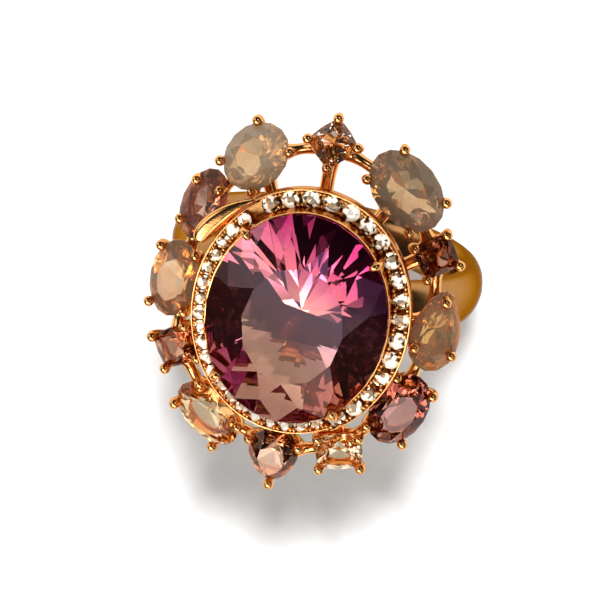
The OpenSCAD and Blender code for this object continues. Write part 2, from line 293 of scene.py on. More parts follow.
def outward(verts, quads, tris):
    """The shell with its faces turned outwards: the signed volume under its faces comes out positive."""
    flat = np.concatenate([quads[:, [0, 1, 2]], quads[:, [0, 2, 3]], tris])
    p, q, r = verts[flat[:, 0]], verts[flat[:, 1]], verts[flat[:, 2]]
    if (np.cross(p, q) * r).sum() < 0:
        quads, tris = quads[:, ::-1], tris[:, ::-1]
    return verts, quads, tris


def carried(path, radius, normal, sides, loop=False, round_ends=3):
    """A round bar: circles of this radius round each point of a path, in the plane square to it. normal is
    a vector that is never along the path. Open ends close in a dome of shrinking circles."""
    path, radius = np.asarray(path, float), np.broadcast_to(np.asarray(radius, float), (len(path),))
    if loop:
        tangent = unit(np.roll(path, -1, axis=0) - np.roll(path, 1, axis=0))
    else:
        tangent = unit(np.gradient(path, axis=0))
        lean = np.linspace(0, np.pi / 2, round_ends + 1)[1:-1] if round_ends > 1 else np.empty(0)
        head = path[0] - tangent[0] * radius[0] * np.sin(lean[::-1])[:, None]
        tail = path[-1] + tangent[-1] * radius[-1] * np.sin(lean)[:, None]
        poles = path[0] - tangent[0] * radius[0], path[-1] + tangent[-1] * radius[-1]
        path = np.concatenate([head, path, tail])
        radius = np.concatenate([radius[0] * np.cos(lean[::-1]), radius, radius[-1] * np.cos(lean)])
        tangent = np.pad(tangent, ((len(lean), len(lean)), (0, 0)), mode="edge")
    across = unit(np.cross(tangent, np.broadcast_to(normal, tangent.shape)))
    up = np.cross(across, tangent)
    a = np.linspace(0, 2 * np.pi, sides, endpoint=False)
    ring = np.cos(a)[:, None] * across[:, None, :] + np.sin(a)[:, None] * up[:, None, :]
    rings = path[:, None, :] + radius[:, None, None] * ring
    return skin(rings, loop) if loop else skin(rings, False, *poles)


def ball(centre, axes, sizes, rows=9, sides=18):
    """A bead: circles of latitude, as wide as its cosine and as high as its sine, stretched to these sizes
    along the axes."""
    lat = np.linspace(-np.pi / 2, np.pi / 2, rows + 2)[1:-1]
    lon = np.linspace(0, 2 * np.pi, sides, endpoint=False)
    local = np.stack([np.outer(np.cos(lat), np.cos(lon)), np.outer(np.cos(lat), np.sin(lon)),
                      np.outer(np.sin(lat), np.ones(sides))], axis=-1) * np.asarray(sizes)
    rings = centre + local @ axes
    up = axes[2] * sizes[2]
    return skin(rings, False, centre - up, centre + up)


def squared(wave, power):
    """A sine or cosine with its sign kept and its size raised to a power."""
    return np.sign(wave) * np.abs(wave) ** power


def bezier(points, steps):
    """A Bezier curve: its control points summed with the binomial weights, at even steps of its parameter."""
    points = np.asarray(points, float)
    n = len(points) - 1
    u = np.linspace(0, 1, steps)[:, None]
    weights = np.concatenate([math.comb(n, i) * u**i * (1 - u) ** (n - i) for i in range(n + 1)], axis=1)
    return weights @ points


def placed(name, data):
    """A new object in the scene, made from this mesh, lamp or camera."""
    obj = bpy.data.objects.new(name, data)
    bpy.context.scene.collection.objects.link(obj)
    return obj


def make_piece(name, shells, material, node, flat=False, crease=35.0):
    """One object from closed shells, in place of a CAD node, smooth but for edges sharper than crease
    degrees."""
    counts = np.cumsum([0] + [len(s[0]) for s in shells])
    verts = np.concatenate([s[0] for s in shells])
    quads = np.concatenate([s[1] + base for s, base in zip(shells, counts)])
    tris = np.concatenate([s[2] + base for s, base in zip(shells, counts)])
    mesh = bpy.data.meshes.new(name)
    mesh.from_pydata(verts.tolist(), [], quads.tolist() + tris.tolist())
    mesh.polygons.foreach_set("use_smooth", np.full(len(mesh.polygons), not flat))
    if not flat:
        mesh.set_sharp_from_angle(angle=math.radians(crease))
    mesh.update()
    mesh.materials.append(material)
    obj = placed(name, mesh)
    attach(obj, "root")
    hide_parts(node)


# ---- Materials ----


def add_node(tree, kind, inputs=None, **settings):
    """A shader node with its settings, and its inputs either linked to a socket or set to a value."""
    made = tree.nodes.new(kind)
    for key, value in settings.items():
        setattr(made, key, value)
    for key, value in (inputs or {}).items():
        if isinstance(value, bpy.types.NodeSocket):
            tree.links.new(value, made.inputs[key])
        else:
            made.inputs[key].default_value = value
    return made


def new_material(name):
    """An empty node material with its tree, its output node and its Object coordinates."""
    material = bpy.data.materials.new(name)
    material.use_nodes = True
    tree = material.node_tree
    tree.nodes.clear()
    out = add_node(tree, "ShaderNodeOutputMaterial")
    coords = add_node(tree, "ShaderNodeTexCoord").outputs["Object"]
    return material, tree, out, coords


def colour_ramp(tree, factor, stops):
    """A colour ramp with these (position, colour) stops."""
    ramp = add_node(tree, "ShaderNodeValToRGB", {"Fac": factor})
    elements = ramp.color_ramp.elements
    while len(elements) < len(stops):
        elements.new(0.5)
    for element, (place, colour) in zip(elements, stops):
        element.position = place
        element.color = (*colour, 1.0)
    return ramp.outputs["Color"]


def combined(tree, operation, *values):
    """The result of a math node on these sockets or numbers."""
    return add_node(tree, "ShaderNodeMath", dict(enumerate(values)), operation=operation).outputs["Value"]


def remapped(tree, value, low, high, to_low=0.0, to_high=1.0, **settings):
    """A value whose range from low to high is stretched to run from to_low to to_high, and held there."""
    return add_node(tree, "ShaderNodeMapRange", {"Value": value, "From Min": low, "From Max": high,
                    "To Min": to_low, "To Max": to_high}, **settings).outputs["Result"]


def blended(tree, share, first, second):
    """A shader that goes from the first node's to the second's as share goes from 0 to 1."""
    return add_node(tree, "ShaderNodeMixShader", {"Fac": share, 1: first.outputs[0], 2: second.outputs[0]})


def glass_node(tree, tint, ior):
    """Clear polished glass of this tint."""
    return add_node(tree, "ShaderNodeBsdfGlass", {"Color": tint, "Roughness": 0.0, "IOR": ior})


def spotted(tree, coords, scale, detail=4.0, roughness=0.55, distortion=0.0):
    """Noise over Object coordinates, scale in cells a metre."""
    return add_node(tree, "ShaderNodeTexNoise", {"Vector": coords, "Scale": scale, "Detail": detail,
                    "Roughness": roughness, "Distortion": distortion}).outputs["Fac"]


# The gold's tint where it is seen edge-on, and the brown of the growth veils inside a gem
GOLD_EDGE = (0.84, 0.62, 0.42)
VEIL_BROWN = (0.16, 0.06, 0.025, 1)


def gold_material(name, polish, wear, painted_shadow_share, settings):
    """Rose gold: the alloy's colour drifts a little, polish marks vary the gloss, and fine scratches and
    casting ripples lift the surface by microns. The colour and the edge tint are scaled by a share, which
    for the band's finish is painted shadow: the band is drawn darker, as if the head shadowed it."""
    material, tree, out, coords = new_material(name)
    drift = spotted(tree, coords, 260.0, detail=3.0)
    # The colour scaled by the finish's share: painted shadow on the band, drawn darker as if under the head
    tone_under_painted_shadow = [c * painted_shadow_share for c in settings.colour]
    colour = colour_ramp(tree, drift, [(0.3, [c * 0.82 for c in tone_under_painted_shadow]), (0.62, tone_under_painted_shadow)])
    marks = spotted(tree, coords, 2400.0, detail=5.0, roughness=0.6)
    rough = remapped(tree, marks, 0.35, 0.7, polish, polish + wear)
    ripple = spotted(tree, coords, 700.0, detail=2.0)
    drawn = add_node(tree, "ShaderNodeMapping", {"Vector": coords, "Scale": (1.0, 6.0, 3.0)})
    scratch = add_node(tree, "ShaderNodeTexNoise", {"Vector": drawn.outputs["Vector"], "Scale": 2600.0,
                       "Detail": 3.0})
    height = combined(tree, "ADD", ripple, scratch.outputs["Fac"])
    bump = add_node(tree, "ShaderNodeBump", {"Height": height, "Strength": 0.35 * painted_shadow_share,
                    "Distance": settings.relief * MM})
    # The edge tint darkened by the same share: painted shadow on the band's edges too
    edge = [c * painted_shadow_share for c in GOLD_EDGE]
    shader = add_node(tree, "ShaderNodeBsdfPrincipled", {"Base Color": colour, "Metallic": 1.0,
                      "Roughness": rough, "Specular Tint": (*edge, 1), "Normal": bump.outputs["Normal"]})
    tree.links.new(shader.outputs["BSDF"], out.inputs["Surface"])
    return material


def gem_material(name, colours, ior, cloud, veils):
    """A faceted gem: tinted glass whose colour drifts between two colours, with brown growth veils of this
    strength, and for a cloudy stone a share of soft scattering under the polish."""
    material, tree, out, coords = new_material(name)
    drift = spotted(tree, coords, 420.0, detail=2.0, roughness=0.5, distortion=0.4)
    tint = colour_ramp(tree, drift, list(zip((0.25, 0.75), colours)))
    if veils:
        flecks = spotted(tree, coords, 1900.0, detail=6.0, roughness=0.7, distortion=1.2)
        dark = combined(tree, "MULTIPLY", remapped(tree, flecks, 0.52, 0.72), veils)
        veiled = add_node(tree, "ShaderNodeMixRGB", {"Fac": dark, "Color1": tint, "Color2": VEIL_BROWN})
        tint = veiled.outputs["Color"]
    shader = glass_node(tree, tint, ior)
    if cloud:
        soft = add_node(tree, "ShaderNodeBsdfPrincipled", {"Base Color": tint, "Roughness": 0.12, "IOR": ior,
                        "Transmission Weight": 0.25})
        shader = blended(tree, cloud, shader, soft)
    tree.links.new(shader.outputs[0], out.inputs["Surface"])
    return material


def pave_material(name, ior):
    """A small brilliant: clear champagne glass, with a painted flash on about half of a pattern of cells a
    third of a millimetre wide. There an opaque near-white surface is mixed in, a painted highlight in place
    of the glints of its smallest facets."""
    material, tree, out, coords = new_material(name)
    cells = add_node(tree, "ShaderNodeTexVoronoi", {"Vector": coords, "Scale": 3300.0})
    pick = add_node(tree, "ShaderNodeSeparateColor", {"Color": cells.outputs["Color"]}).outputs["Red"]
    tint = colour_ramp(tree, pick, [(0.1, (0.93, 0.74, 0.48)), (0.6, (1.0, 0.92, 0.76))])
    # Painted highlight: an opaque near-white surface, shown on about half of the cells in place of facet
    # glints
    bright = add_node(tree, "ShaderNodeBsdfPrincipled", {"Base Color": (1.0, 0.93, 0.80, 1), "Roughness": 0.1,
                      "IOR": ior})
    glass_and_painted_flash = blended(tree, remapped(tree, pick, 0.52, 0.6, 0.0, 0.85), glass_node(tree, tint, ior), bright)
    tree.links.new(glass_and_painted_flash.outputs[0], out.inputs["Surface"])
    return material


def zoned_material(name, settings):
    """The centre gem: colour zones that run across the stone from smoky brown through wine and orchid to
    magenta, which the facets break up as they mirror them."""
    material, tree, out, coords = new_material(name)
    low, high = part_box("centre_stone")
    middle = [-(low[i] + high[i]) / 2 for i in range(3)]
    centred = add_node(tree, "ShaderNodeVectorMath", {0: coords, 1: tuple(middle)}, operation="ADD")
    turn = math.radians(settings.zone_direction)
    zones = (math.cos(turn), math.sin(turn), 0.25)
    along = add_node(tree, "ShaderNodeVectorMath", {0: centred.outputs["Vector"], 1: zones},
                     operation="DOT_PRODUCT")
    waver = spotted(tree, coords, 190.0, detail=2.0)
    wander = combined(tree, "MULTIPLY_ADD", waver, 3.0 * MM, along.outputs["Value"])
    share = remapped(tree, wander, -3.0 * MM, 6.5 * MM)
    tint = colour_ramp(tree, share, [
        (0.0, tuple(settings.brown)), (0.34, tuple(settings.taupe)),
        (0.52, tuple(settings.wine)), (0.78, tuple(settings.orchid)), (1.0, tuple(settings.magenta))])
    tree.links.new(glass_node(tree, tint, settings.centre_ior).outputs[0], out.inputs["Surface"])
    return material


# ---- Settings ----


def number(label, text, value, low, high, **settings):
    """A number, plain unless settings give it a subtype or a unit."""
    return FloatProperty(name=label, description=text, default=value, min=low, max=high, **settings)


def length_mm(label, text, value, low, high):
    """A size in millimetres."""
    return number(label, text, value, low, high, precision=2)


def length_m(label, text, value, low, high):
    """A length in metres."""
    return number(label, text, value, low, high, unit="LENGTH")


def tint_of(label, text, value):
    """A colour."""
    return FloatVectorProperty(name=label, description=text, default=value, size=3, min=0, max=1,
                               subtype="COLOR")


class GoldSettings(bpy.types.PropertyGroup):
    """The gold's colour and finish, and the curves of the band and the arms"""

    colour: tint_of("Gold", "Colour of the rose gold", (0.86, 0.42, 0.15))
    polish: number("Polish", "Roughness of the polished metal", 0.09, 0.0, 1.0, subtype="FACTOR")
    relief: length_mm("Relief", "Depth of the polish marks and ripples, in mm", 0.02, 0.0, 0.2)
    dome: length_mm("Dome", "How far the band's faces bow outwards, in mm", 0.12, 0.0, 0.4)
    comfort: length_mm("Comfort", "How far the bore opens at the band's edges, in mm", 0.16, 0.0, 0.4)
    arm_bow: length_mm("Arm bow", "How far the cast arms bow upwards, in mm", 0.45, -1.0, 1.5)


class ClawSettings(bpy.types.PropertyGroup):
    """Sizes of the baskets, the claws and the beads"""

    ball: length_mm("Ball", "Diameter of the balls on the side claws, in mm", 0.73, 0.3, 1.0)
    wire: length_mm("Wire", "Diameter of the claw wire, in mm", 0.5, 0.3, 0.8)
    rail: length_mm("Foot ring", "Diameter of the wire of the baskets' foot rings, in mm", 0.56, 0.3, 0.8)
    cup: length_mm("Cup wall", "Thickness of the baskets' walls, in mm", 0.24, 0.1, 0.5)
    grain: length_mm("Grain", "Width of a pair of beads between pave stones, in mm", 0.5, 0.15, 0.6)
    centre_tip: length_mm("Centre claw tip", "Width of the centre claws' pads, in mm", 0.78, 0.4, 1.2)


class GemSettings(bpy.types.PropertyGroup):
    """The gems' refractive indices and the centre gem's colours"""

    centre_ior: number("Centre index", "Refractive index of the centre gem", 1.56, 1.4, 2.4)
    side_ior: number("Side index", "Refractive index of the side stones", 1.56, 1.4, 2.4)
    pave_ior: number("Pave index", "Refractive index of the pave stones", 2.2, 1.4, 2.5)
    zone_direction: number("Zone direction", "Direction in which the centre gem's colour changes, in degrees",
                           62.0, -180.0, 180.0)
    brown: tint_of("Smoky brown", "The centre gem's brown end", (0.62, 0.44, 0.36))
    taupe: tint_of("Taupe", "The centre gem's taupe zone", (0.82, 0.62, 0.51))
    wine: tint_of("Wine", "The centre gem's wine zone", (0.86, 0.60, 0.66))
    orchid: tint_of("Orchid", "The centre gem's orchid zone", (0.95, 0.70, 0.93))
    magenta: tint_of("Magenta", "The centre gem's magenta end", (0.76, 0.28, 0.70))


class StudioSettings(bpy.types.PropertyGroup):
    """The camera, the lights and the floor"""

    tilt_side: number("Tilt sideways", "Camera's lean towards +X, in degrees", 5.0, -90.0, 90.0)
    tilt_along: number("Tilt along", "Camera's lean towards +Y, in degrees", 16.5, -90.0, 90.0)
    roll: number("Roll", "Camera's turn about its own axis, in degrees", 11.0, -180.0, 180.0)
    distance: length_mm("Distance", "Camera's distance, in mm", 280.0, 50.0, 2000.0)
    lens: number("Lens", "Focal length, in mm, on a 36 mm sensor", 260.4, 20.0, 600.0)
    crown: length_mm("Crown", "How far below the gem's top the camera aims, in mm", 1.75, 0.0, 5.0)
    aim_right: length_mm("Aim right", "How far right of its aim the camera stands, in mm", 0.27, -20.0, 20.0)
    aim_up: length_mm("Aim up", "How far above its aim the camera stands, in mm", 1.284, -20.0, 20.0)
    ambient: number("Ambient", "Strength of the light between the cards", 0.035, 0.0, 5.0)
    fill: number("Fill", "Share of the cards' light that matt surfaces get", 0.2, 0.0, 1.0, subtype="FACTOR")
    key: number("Key", "Power of the key light, in watts", 108.0, 0.0, 1000.0)
    key_width: length_m("Key width", "Width of the key light", 0.5, 0.05, 5.0)
    key_away: length_m("Key distance", "Distance of the key light", 3.0, 0.3, 20.0)
    floor_side: length_m("Floor", "Side of the floor", 1.8, 1.0, 40.0)


GROUPS = {"ring_gold": GoldSettings, "ring_claws": ClawSettings, "ring_gems": GemSettings,
          "ring_studio": StudioSettings}

# Each gold finish: what it adds to the polish, how much its gloss varies, and its share of the gold's colour,
# which for satin is painted shadow (the band drawn at half its colour, as if the head shadowed it), and
# which leaves the soft finish a little darker
FINISHES = {"bright": (0.0, 0.06, 1.0), "soft": (0.07, 0.16, 0.95), "satin": (0.10, 0.06, 0.5)}


def gold_of(kind):
    """The gold finish of this kind, made once: bright for the head, soft for what the wheel can't reach, and
    satin for the band, which is also darkened as painted shadow."""
    found = bpy.data.materials.get(f"rose_gold_{kind}")
    gold = bpy.context.scene.ring_gold
    extra, wear, painted_shadow_share = FINISHES[kind]
    return found or gold_material(f"rose_gold_{kind}", gold.polish + extra, wear, painted_shadow_share, gold)


def gold_piece(name, shells, node, kind="bright", crease=35.0):
    """One gold object in place of a CAD node, in this finish."""
    make_piece(name, shells, gold_of(kind), node, crease=crease)


# ---- Operators ----


class RING_OT_band(bpy.types.Operator):
    """The finger band: a peaked dome outside and a comfort bore inside, carried round the finger"""

    bl_idname = "ring.band"
    bl_label = "Band"

    def execute(self, context):
        gold = context.scene.ring_gold
        low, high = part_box("shank")
        outer, seat_z, half = -low.z, high.z, high.y
        co, _ = node_mesh("shank")
        inner = np.hypot(co[:, 0], co[:, 2]).min()
        edge = np.hypot(co[:, 0], co[:, 2])[np.abs(co[:, 1]) > 0.98 * half].max()
        turn = np.linspace(0, 2 * np.pi, 256, endpoint=False)[:, None]
        q = np.linspace(0, 2 * np.pi, 48, endpoint=False)[None, :]
        across, lift = squared(np.cos(q), BAND_SQUARE), squared(np.sin(q), BAND_SQUARE)
        slope, swell = np.abs(across) ** BAND_PEAK, np.abs(across) ** 4
        ridge = outer - (outer - edge) * slope - gold.dome * MM * (swell - slope)
        bore = inner + gold.comfort * MM * swell
        radius = (ridge + bore) / 2 + (ridge - bore) / 2 * lift
        width = half * (1 - BAND_NARROWS * (0.5 - 0.5 * np.cos(turn)) ** 2)
        x, z = radius * np.sin(turn), radius * np.cos(turn)
        rings = np.stack([x, width * across + 0 * turn, np.minimum(z, seat_z)], axis=-1)
        # The satin finish also paints shadow: the band's colour is halved, as if the head shadowed it
        gold_piece("band", [skin(rings, loop=True)], "shank", "satin", crease=50)
        return {"FINISHED"}


class RING_OT_gallery(bpy.types.Operator):
    """The gallery: two oval rails with a round section, and posts between them that flare at both ends"""

    bl_idname = "ring.gallery"
    bl_label = "Gallery"

    def execute(self, context):
        t = np.linspace(0, 2 * np.pi, 160, endpoint=False)
        for name in ("base_rail", "upper_rail"):
            a, b, low, high = oval_sizes(name)
            r = (high - low) / 2
            path = np.concatenate([oval_point(a - r, b - r, t), np.full((160, 1), (low + high) / 2)], axis=1)
            rail = carried(path, r, (0, 0, 1), 20, loop=True)
            gold_piece(f"{name}_round", [rail], name)
        posts = []
        for points in islands("gallery_posts"):
            foot, head = sorted(rod_ends(points), key=lambda p: p[2])
            u = np.linspace(0, 1, 12)
            radius = POST_R * MM * (0.78 + 0.5 * (2 * u - 1) ** 4)
            posts.append(carried(foot + (head - foot) * u[:, None], radius, (0.3, -0.5, 0.1), 14))
        gold_piece("gallery_post_set", posts, "gallery_posts", "soft")
        return {"FINISHED"}


class RING_OT_baskets(bpy.types.Operator):
    """The side baskets: a wall and a foot ring that follow each stone's outline, and claws that lean in over
    its edge and end in balls"""

    bl_idname = "ring.baskets"
    bl_label = "Side baskets"

    def execute(self, context):
        claws = context.scene.ring_claws
        wire, rail = claws.wire * MM / 2, claws.rail * MM / 2
        for k, place in SEATS.items():
            node = f"side_setting_{k}"
            local = (node_mesh(node)[0] - place["centre"]) @ place["axes"].T
            foot_z = local[:, 2].min() + rail
            angle = np.linspace(0, 2 * np.pi, 72, endpoint=False)
            edge = outline(place, angle)
            shells = [cup(edge, angle, foot_z, claws.cup * MM)]
            foot = (FOOT_SHARE * edge + FOOT_OUT * MM)[:, None]
            ring = foot * np.stack([np.cos(angle), np.sin(angle)], axis=1)
            path = np.concatenate([ring, np.full((72, 1), foot_z)], axis=1)
            shells.append(carried(path, rail, (0, 0, 1), 12, loop=True))
            for tip in claw_balls(k, place):
                a = math.atan2(tip[1], tip[0])
                r = float(outline(place, [a])[0])
                at = lambda d, z: [d * math.cos(a), d * math.sin(a), z]
                path = bezier([at(share * r + outside * MM, depth * foot_z + above * MM)
                               for share, outside, depth, above in CLAW_POINTS], 16)
                side = [-math.sin(a), math.cos(a), 0]
                shells.append(carried(path, wire * np.linspace(1.02, 0.92, 16), side, 12))
                axes = np.array([[math.cos(a), math.sin(a), 0], side, [0, 0, 1]])
                shells.append(ball(np.array(at(r + BALL_OUT * MM, BALL_UP * MM)), axes,
                                   np.array(BALL_SHAPE) * claws.ball * MM / 2))
            shells = [(v @ place["axes"] + place["centre"], q, t) for v, q, t in shells]
            gold_piece(f"side_basket_{k}", shells, node)
        return {"FINISHED"}


class RING_OT_arms(bpy.types.Operator):
    """The cast arms from the base rail to the baskets, and the short bars that tie neighbouring baskets,
    which sag a little and are half as wide again at their ends"""

    bl_idname = "ring.arms"
    bl_label = "Arms and ties"

    def execute(self, context):
        bow = context.scene.ring_gold.arm_bow * MM
        for k in SEATS:
            root, tip = sorted(rod_ends(node_mesh(f"side_stem_{k}")[0]), key=lambda p: math.hypot(p[0], p[1]))
            middle = (root + tip) / 2 + np.array([0, 0, bow])
            u = np.linspace(0, 1, 18)
            # 1.1 of the radius at the root, slimmest halfway, and 1.45 at the basket
            radius = ARM_R * MM * (1.1 - 0.5 * u + 0.85 * u**3)
            side = np.cross(tip - root, (0, 0, 1))
            arm = carried(bezier([root, middle, tip], 18), radius, side, 16)
            gold_piece(f"cast_arm_{k}", [arm], f"side_stem_{k}")
        ties = []
        for points in islands("link_wires"):
            a, b = rod_ends(points)
            middle = (a + b) / 2 - np.array([0, 0, TIE_SAG * MM])
            u = np.linspace(0, 1, 10)
            radius = TIE_R * MM * (1.0 + 0.5 * (2 * u - 1) ** 2)
            ties.append(carried(bezier([a, middle, b], 10), radius, (0, 0, 1), 14))
        gold_piece("basket_ties", ties, "link_wires")
        return {"FINISHED"}


class RING_OT_collet(bpy.types.Operator):
    """The centre collet: an oval wall with a rounded lip, and four claws that end in flattened pads"""

    bl_idname = "ring.collet"
    bl_label = "Collet and centre claws"

    def execute(self, context):
        claws = context.scene.ring_claws
        span = band_span("centre_collet")[2:]
        shell = wall(0, 2 * np.pi, *span, COLLET_SQUARE, stations=180, corners=24, loop=True)
        gold_piece("collet_wall", [shell], "centre_collet")
        for i in range(1, 5):
            co, _ = node_mesh(f"centre_claw_{i}")
            tt, offs = oval_place(STONE_A, STONE_B, co[:, :2])
            t = math.atan2(np.sin(tt).mean(), np.cos(tt).mean())
            foot = offs[co[:, 2] < co[:, 2].min() + 0.1 * MM].mean()
            normal = np.append(oval_point(STONE_A, STONE_B, t, 1.0) - oval_point(STONE_A, STONE_B, t), 0)
            at = lambda d, z: np.append(oval_point(STONE_A, STONE_B, t, d), z)
            base, top = co[:, 2].min(), co[:, 2].max()
            path = bezier([at(foot, base), at(foot + 0.05 * MM, (base + top) / 2),
                           at(foot + 0.1 * MM, top - 0.2 * MM), at(foot - 0.15 * MM, top + 0.02 * MM),
                           at(-0.2 * MM, top - 0.12 * MM)], 18)
            side = np.cross(normal, (0, 0, 1))
            shells = [carried(path, CENTRE_CLAW_R * MM * np.linspace(1.0, 1.12, 18), side, 14)]
            tilt = unit(np.array([*(-normal[:2] * PAD_LEAN), 1.0]))
            axes = np.stack([unit(np.cross(side, tilt)), side, tilt])
            size = claws.centre_tip * MM / 2
            shells.append(ball(at(0.0, top - PAD_DROP * MM), axes, np.array(PAD_SHAPE) * size))
            gold_piece(f"centre_claw_pad_{i}", shells, f"centre_claw_{i}")
        return {"FINISHED"}


def wall(t0, t1, off_in, off_out, low, high, power, stations=120, corners=20, loop=False):
    """A band that follows the centre stone's oval: a rounded rectangle, a circle's sine and cosine raised
    to a power, carried from parameter t0 to t1 at these distances and heights."""
    t = np.linspace(t0, t1, stations, endpoint=not loop)[:, None]
    q = np.linspace(0, 2 * np.pi, corners, endpoint=False)[None, :]
    off = (off_in + off_out) / 2 + (off_out - off_in) / 2 * squared(np.cos(q), power)
    z = (low + high) / 2 + (high - low) / 2 * squared(np.sin(q), power)
    xy = oval_point(STONE_A, STONE_B, t + 0 * q, off + 0 * t)
    return skin(np.concatenate([xy, (z + 0 * t)[..., None]], axis=-1), loop)


def bead_pairs(name, r):
    """Two beads side by side along the halo, each on its stem, for every grain of a node. r is half the
    width of a pair, in mm."""
    beads = []
    for points in islands(name):
        top, base = points[:, 2].max(), points[:, 2].min()
        middle = points[:, :2].mean(axis=0)
        along = unit(np.array([-middle[1] / STONE_B**2, middle[0] / STONE_A**2]))
        for side in (-1, 1):
            centre = np.array([*(middle + side * BEAD_APART * r * MM * along), top - BEAD_DEEP * r * MM])
            beads.append(ball(centre, np.eye(3), np.array([1, 1, 0.9]) * BEAD_R * r * MM, 6, 10))
            u = np.linspace(0, 1, 4)[:, None]
            stem = np.array([centre[0], centre[1], base]) + u * np.array([0, 0, centre[2] - base])
            beads.append(carried(stem, STEM_R * r * MM, (1, 0, 0), 8, round_ends=1))
    return beads


def tail_leaf():
    """The halo's plain tail: a rounded section as wide as the node is at each station, and lower where the
    tail is narrow."""
    co, _ = node_mesh("halo_tail")
    t, off = oval_place(STONE_A, STONE_B, co[:, :2])
    t = t % (2 * np.pi)
    stops = np.linspace(t.min(), t.max(), 60)
    steps, back = np.unique(np.round(t, 3), return_inverse=True)
    lower = np.array([off[back.reshape(-1) == i].min() for i in range(len(steps))])
    upper = np.array([off[back.reshape(-1) == i].max() for i in range(len(steps))])
    inner, outer = np.interp(stops, steps, lower), np.interp(stops, steps, upper)
    middle, half = (inner + outer) / 2, np.maximum((outer - inner) / 2, 0.02 * MM)
    q = np.linspace(0, 2 * np.pi, 32, endpoint=False)[None, :]
    base, top = co[:, 2].min(), co[:, 2].max()
    width = middle[:, None] + half[:, None] * squared(np.cos(q), LEAF_SQUARE)
    crest = (top - base) / 2 * np.minimum(1, 0.55 + half / half.max() * 0.45)[:, None]
    z = (base + top) / 2 + crest * squared(np.sin(q), LEAF_SQUARE)
    xy = oval_point(STONE_A, STONE_B, stops[:, None] + 0 * q, width)
    return skin(np.concatenate([xy, z[..., None]], axis=-1))


class RING_OT_halo(bpy.types.Operator):
    """The halo's metal: the floor under the pave, a thin rim along each band, the beads that hold the
    stones, and the plain polished tail"""

    bl_idname = "ring.halo"
    bl_label = "Halo"

    def execute(self, context):
        grain = context.scene.ring_claws.grain
        wide, slim = band_span("halo_crescent_rim"), band_span("halo_inner_rim")
        low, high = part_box("halo_floor")
        inner = band_span("halo_floor")[2]
        floors = [wall(start - 0.02, stop + 0.02, inner, outside, low.z, high.z, FLOOR_SQUARE)
                  for start, stop, _, outside, _, _ in (wide, slim)]
        gold_piece("halo_plate", floors, "halo_floor", "soft")
        for name, span in (("halo_crescent_rim", wide), ("halo_inner_rim", slim)):
            start, stop, inside, outside, low_z, top_z = span
            shell = wall(start, stop, inside - 0.03 * MM, outside + 0.01 * MM, low_z - 0.1 * MM, top_z,
                         RIM_SQUARE)
            gold_piece(f"{name}_line", [shell], name)
        for name, r in (("crescent_grains", grain / 2), ("inner_grains", grain / 2.3)):
            gold_piece(f"{name}_beads", bead_pairs(name, r), name)
        gold_piece("halo_tail_leaf", [tail_leaf()], "halo_tail", crease=60)
        return {"FINISHED"}


def cup(edge, angle, foot_z, thickness):
    """A basket's wall: the stone's outline, made smaller towards the foot along a bowed curve, with an
    inner face one thickness inside and a rounded lip. edge holds the outline's radii at these angles."""
    u = np.linspace(0, 1, 12)
    share = CUP_FOOT + CUP_FLARE * u**CUP_BOW
    z = foot_z * (1 - CUP_RISE * u)
    none = np.zeros(12)
    outer = np.stack([share, none, z], axis=1)
    inner = np.stack([share, none - thickness, z], axis=1)[::-1]
    lip = np.array([[share[-1], -thickness / 2, z[-1] + thickness / 3]])
    heel = np.array([[share[0], -thickness / 2, z[0] - thickness / 3]])
    profile = np.concatenate([outer, lip, inner, heel])
    radius = profile[None, :, 0] * edge[:, None] + profile[None, :, 1]
    rings = np.stack([radius * np.cos(angle)[:, None], radius * np.sin(angle)[:, None],
                      np.broadcast_to(profile[None, :, 2], radius.shape)], axis=-1)
    return skin(rings, loop=True)


def brilliants(centres, outs, radii, crown, table, depth):
    """Round brilliants, one for each centre: rings of 8 table, 8 star, 16 girdle, 16 lower girdle and 8
    low pavilion corners and a culet, every facet flat between its ring's corners. The crown's height, the
    table's radius and the pavilion's depth are shares of the stone's radius."""
    half = math.pi / 8
    star = (1 + table) / 2 + 0.02
    low = 0.3
    rim = 0.05
    turn = lambda n, start: start + 2 * np.pi * np.arange(n) / n
    ring = lambda n, start, k, z: np.stack([k * np.cos(turn(n, start)), k * np.sin(turn(n, start)),
                                            np.full(n, z)], axis=-1)
    star_z = crown * (1 - star * math.cos(half)) / (1 - table)
    points = np.concatenate([
        ring(8, 0, table, crown), ring(8, half, star, star_z), ring(16, 0, 1, 0), ring(16, 0, 1, -rim),
        ring(8, half, low, -rim - depth * (1 - low * math.cos(half))), [[0, 0, -rim - depth]]])
    i = np.arange(8)
    j = (i + 1) % 8
    g, h = np.arange(16), (np.arange(16) + 1) % 16
    a, b, c = 2 * i, 2 * i + 1, (2 * i + 2) % 16
    tris = np.concatenate([
        np.stack([i, j, 8 + i], -1), np.stack([8 + i, 16 + b, 16 + a], -1),
        np.stack([8 + i, 16 + c, 16 + b], -1), np.stack([48 + i, 32 + a, 32 + b], -1),
        np.stack([48 + i, 32 + b, 32 + c], -1),
        np.stack([np.zeros(6, int), np.arange(1, 7), np.arange(2, 8)], -1)])
    quads = np.concatenate([
        np.stack([i, 8 + i, 16 + a, 8 + (i - 1) % 8], -1), np.stack([16 + g, 16 + h, 32 + h, 32 + g], -1),
        np.stack([np.full(8, 56), 48 + (i - 1) % 8, 32 + a, 48 + i], -1)])
    shells = []
    for centre, out, r in zip(centres, outs, radii):
        axes = np.stack([out, np.cross((0, 0, 1), out), [0, 0, 1]])
        shells.append((points * r @ axes + centre, quads, tris))
    return shells


# How far a pave stone's girdle lies below its CAD node's top, as a share of its radius
GIRDLE_DROP = 0.28


